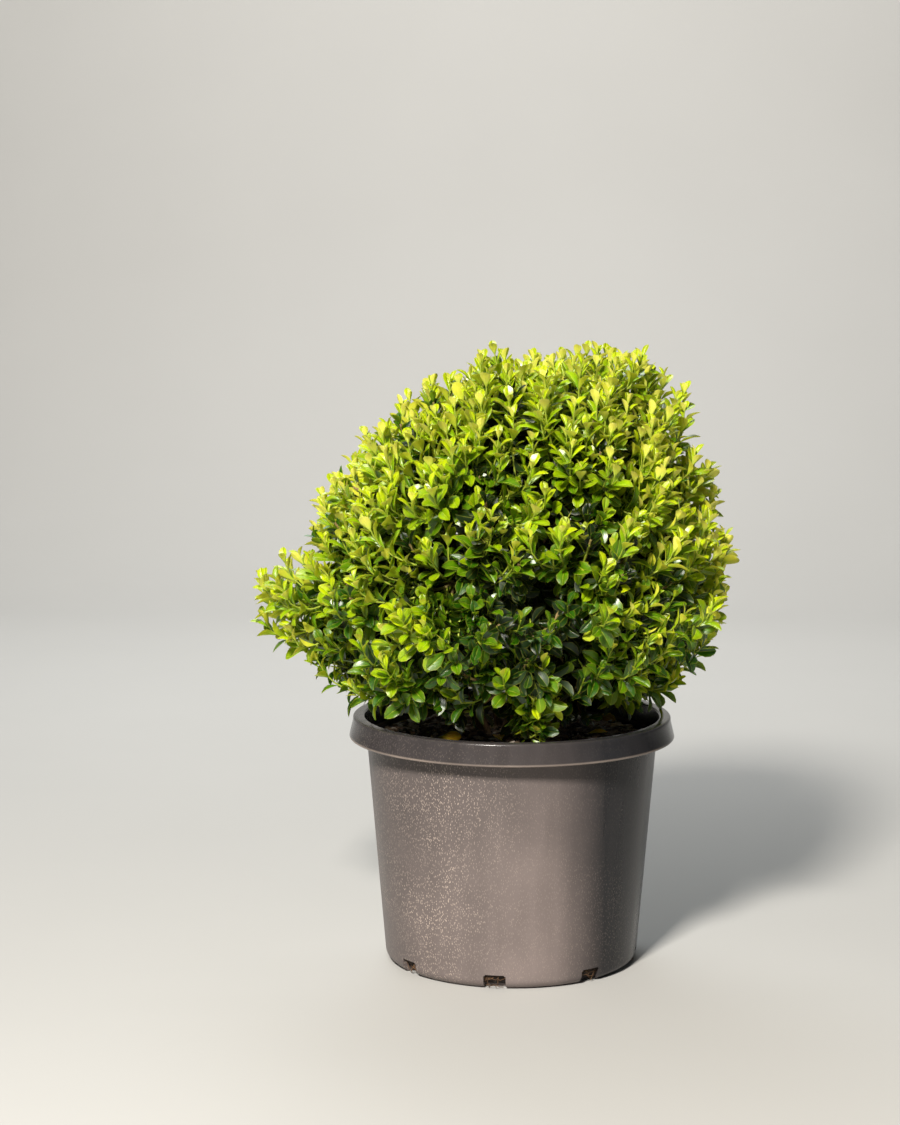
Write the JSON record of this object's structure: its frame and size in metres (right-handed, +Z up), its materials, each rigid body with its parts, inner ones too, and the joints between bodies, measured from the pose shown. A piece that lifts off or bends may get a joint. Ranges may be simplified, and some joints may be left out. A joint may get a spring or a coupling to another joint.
{
  "type": "potted euonymus",
  "caption": "Dense young shrub with small glossy leaves in a squat round nursery pot with an overhanging rim and drainage slots round its foot.",
  "frame": {"origin": "middle of the pot's flat underside, on the ground", "axes": "+Z up along the pot's axis, +X to the right and -Y towards the front, the side in the picture"},
  "size_m": [0.4394, 0.4042, 0.5681],
  "materials": {
    "pot": "satin black plastic, dusty",
    "potting_mix": "damp composted bark",
    "bark": "thin matt bark",
    "foliage": "glossy leaves"
  },
  "bodies": {
    "root": {"pot": "pot", "potting_mix": "potting_mix", "trunk": "bark", "basal_stem_lower_1": "bark", "basal_stem_lower_2": "bark", "basal_stem_lower_3": "bark", "basal_stem_lower_4": "bark", "basal_stem_lower_5": "bark", "basal_stem_lower_6": "bark", "basal_stem_lower_7": "bark", "bough_middle_1": "bark", "bough_middle_2": "bark", "bough_middle_3": "bark", "bough_middle_4": "bark", "bough_middle_5": "bark", "bough_middle_6": "bark", "bough_middle_7": "bark", "bough_upper_1": "bark", "bough_upper_2": "bark", "bough_upper_3": "bark", "bough_upper_4": "bark", "bough_upper_5": "bark", "bough_upper_6": "bark", "foliage_lower_1": "foliage", "foliage_lower_2": "foliage", "foliage_lower_3": "foliage", "foliage_lower_4": "foliage", "foliage_lower_5": "foliage", "foliage_lower_6": "foliage", "foliage_lower_7": "foliage", "foliage_middle_1": "foliage", "foliage_middle_2": "foliage", "foliage_middle_3": "foliage", "foliage_middle_4": "foliage", "foliage_middle_5": "foliage", "foliage_middle_6": "foliage", "foliage_middle_7": "foliage", "foliage_upper_1": "foliage", "foliage_upper_2": "foliage", "foliage_upper_3": "foliage", "foliage_upper_4": "foliage", "foliage_upper_5": "foliage", "foliage_upper_6": "foliage", "foliage_top": "foliage"}
  },
  "joints": []
}
